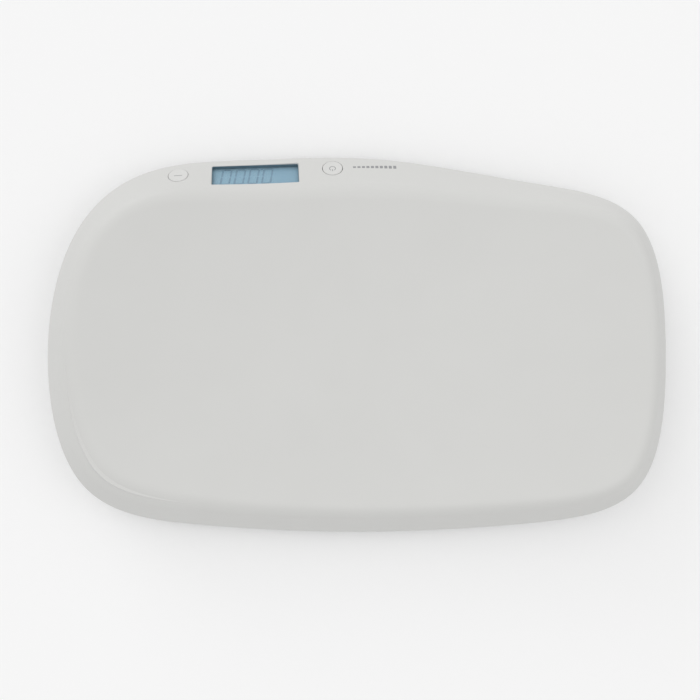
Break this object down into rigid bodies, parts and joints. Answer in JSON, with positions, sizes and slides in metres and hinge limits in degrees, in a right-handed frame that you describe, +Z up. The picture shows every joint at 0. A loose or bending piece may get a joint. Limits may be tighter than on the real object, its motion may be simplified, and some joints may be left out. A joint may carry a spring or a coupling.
{
  "type": "animal weighing scale",
  "caption": "Low digital tray scale: a shallow cradle tray with a sloped edge, a display and two keys in its wide front edge, load-cell feet and a hinged battery door under the base.",
  "frame": {"origin": "on the supporting surface, under the middle of the tray's outline", "axes": "+Z up; -Y is the front, the side of the display; +X is to the reader's right, along the tray's length"},
  "size_m": [0.5199, 0.32, 0.061],
  "materials": {
    "tray_plastic": "satin white ABS with a faint moulded grain",
    "base_plastic": "fine matt white ABS",
    "key_plastic": "matt white key caps with a small grey pictogram",
    "rubber": "grey moulded rubber",
    "window": "clear acrylic display window",
    "lcd_glass": "blue-grey backlit LCD",
    "frame_plastic": "natural moulded plastic",
    "light_guide": "milky light guide",
    "strip_rubber": "layered conductive rubber",
    "circuit_board": "green solder mask",
    "black_plastic": "black moulded plastic",
    "plated_steel": "nickel-plated steel",
    "sensor_steel": "stamped spring steel",
    "cell_can": "plain wrapped battery can",
    "cable_sheath": "light grey PVC sheath",
    "black_lead": "black PVC insulation",
    "red_lead": "red PVC insulation"
  },
  "bodies": {
    "housing": {"tray_shell": "tray_plastic", "base_shell": "base_plastic", "display_window": "window", "lcd_panel": "lcd_glass", "lcd_frame": "frame_plastic", "backlight_panel": "light_guide", "zebra_strip": "strip_rubber", "main_pcb": "circuit_board", "controller_chip": "black_plastic", "pcb_screw_1": "plated_steel", "pcb_screw_2": "plated_steel", "tare_switch": "black_plastic", "unit_switch": "black_plastic", "case_screw_1": "plated_steel", "case_screw_2": "plated_steel", "case_screw_3": "plated_steel", "case_screw_4": "plated_steel", "case_screw_5": "plated_steel", "case_screw_6": "plated_steel", "battery_cell_1": "cell_can", "battery_cell_2": "cell_can", "battery_cell_3": "cell_can", "contact_negative": "plated_steel", "contact_positive": "plated_steel", "contact_bridge_left": "plated_steel", "contact_bridge_right": "plated_steel", "sensor_carrier_1": "frame_plastic", "sensor_carrier_2": "frame_plastic", "sensor_carrier_3": "frame_plastic", "sensor_carrier_4": "frame_plastic", "load_cell_1": "sensor_steel", "load_cell_2": "sensor_steel", "load_cell_3": "sensor_steel", "load_cell_4": "sensor_steel", "sensor_cable_1": "cable_sheath", "sensor_cable_2": "cable_sheath", "sensor_cable_3": "cable_sheath", "sensor_cable_4": "cable_sheath", "battery_lead_negative": "black_lead", "battery_lead_positive": "red_lead"},
    "tare_key": {"tare_button": "key_plastic", "tare_switch_plunger": "black_plastic"},
    "unit_key": {"unit_button": "key_plastic", "unit_switch_plunger": "black_plastic"},
    "battery_door": {"battery_door": "base_plastic"},
    "foot_1": {"foot_cup_1": "base_plastic", "foot_pad_1": "rubber"},
    "foot_2": {"foot_cup_2": "base_plastic", "foot_pad_2": "rubber"},
    "foot_3": {"foot_cup_3": "base_plastic", "foot_pad_3": "rubber"},
    "foot_4": {"foot_cup_4": "base_plastic", "foot_pad_4": "rubber"}
  },
  "joints": [
    {"name": "tare_press", "type": "slide", "parent": "housing", "child": "tare_key", "axis": [0.0122, 0.6338, -0.7734], "range_m": [0, 0.0008], "stiffness_N_per_m": 600, "springref_m": -0.001},
    {"name": "unit_press", "type": "slide", "parent": "housing", "child": "unit_key", "axis": [0.0122, 0.6338, -0.7734], "range_m": [0, 0.0008], "stiffness_N_per_m": 600, "springref_m": -0.001},
    {"name": "battery_door_hinge", "type": "hinge", "parent": "housing", "child": "battery_door", "pos_m": [0, 0.019, 0.008], "axis": [1, 0, 0], "range_deg": [0, 75]},
    {"name": "foot_1_float", "type": "slide", "parent": "housing", "child": "foot_1", "axis": [0, 0, -1], "range_m": [0, 0.001]},
    {"name": "foot_2_float", "type": "slide", "parent": "housing", "child": "foot_2", "axis": [0, 0, -1], "range_m": [0, 0.001]},
    {"name": "foot_3_float", "type": "slide", "parent": "housing", "child": "foot_3", "axis": [0, 0, -1], "range_m": [0, 0.001]},
    {"name": "foot_4_float", "type": "slide", "parent": "housing", "child": "foot_4", "axis": [0, 0, -1], "range_m": [0, 0.001]}
  ]
}
